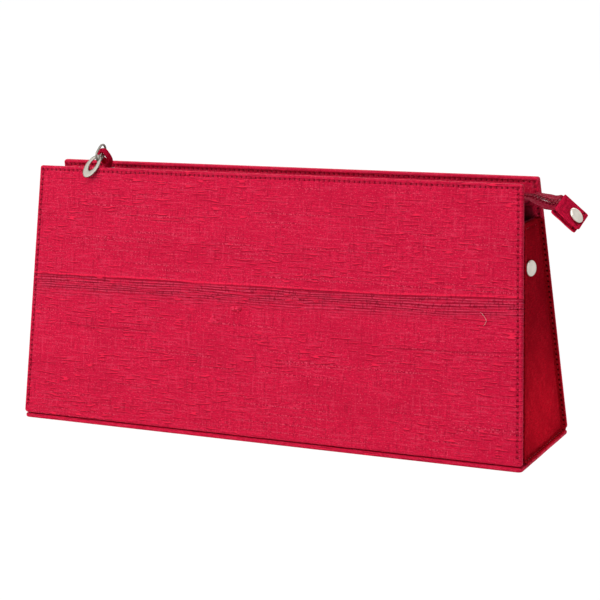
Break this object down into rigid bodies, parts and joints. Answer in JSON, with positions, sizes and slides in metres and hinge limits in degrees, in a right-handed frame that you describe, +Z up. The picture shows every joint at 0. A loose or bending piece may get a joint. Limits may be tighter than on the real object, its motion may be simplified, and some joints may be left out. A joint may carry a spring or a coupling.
{
  "type": "clutch bag",
  "caption": "Stiff A-line silk clutch bag with a recessed zip, a ring pull, dished gussets and a snap tab on the zip's tail.",
  "frame": {"origin": "middle of the underside of the base", "axes": "+Z up, +X towards the end where the zip's tail comes out, -Y out of the front panel"},
  "size_m": [0.3055, 0.07, 0.1477],
  "materials": {
    "panel_silk": "matt slubbed silk",
    "gusset_silk": "smooth silk",
    "trim_silk": "smooth silk",
    "lining": "matt",
    "board": "matt",
    "zip_tape": "matt woven",
    "zip_teeth": "satin",
    "slider_enamel": "gloss",
    "silver": "polished"
  },
  "bodies": {
    "bag": {"front_cover": "panel_silk", "back_cover": "panel_silk", "base_cover": "panel_silk", "front_board": "board", "back_board": "board", "base_board": "board", "front_lining": "lining", "back_lining": "lining", "base_lining": "lining", "gusset_lining_right": "lining", "gusset_lining_left": "lining", "gusset_right": "gusset_silk", "gusset_left": "gusset_silk", "zip_tape_front": "zip_tape", "zip_tape_back": "zip_tape", "zip_teeth_front": "zip_teeth", "zip_teeth_back": "zip_teeth", "zip_stop_front": "silver", "zip_stop_back": "silver", "zip_end_tab": "trim_silk", "tab_snap_cap": "silver", "tab_snap_socket": "silver", "gusset_snap_cap": "silver", "gusset_snap_back": "silver"},
    "slider": {"zip_slider": "slider_enamel", "pull_loop": "trim_silk"},
    "link": {"pull_link": "silver"},
    "ring": {"pull_ring": "silver"}
  },
  "joints": [
    {"name": "zip_slide", "type": "slide", "parent": "bag", "child": "slider", "axis": [1, 0, 0], "range_m": [0, 0.2245], "deforming": ["zip_teeth_front", "zip_teeth_back"]},
    {"name": "link_swing", "type": "hinge", "parent": "slider", "child": "link", "pos_m": [-0.1015, -0.0056, 0.1443], "axis": [-1, 0, 0], "range_deg": [0, 90]},
    {"name": "ring_swing", "type": "hinge", "parent": "link", "child": "ring", "pos_m": [-0.1015, -0.00996, 0.14125], "axis": [-1, 0, 0], "range_deg": [0, 60]}
  ]
}
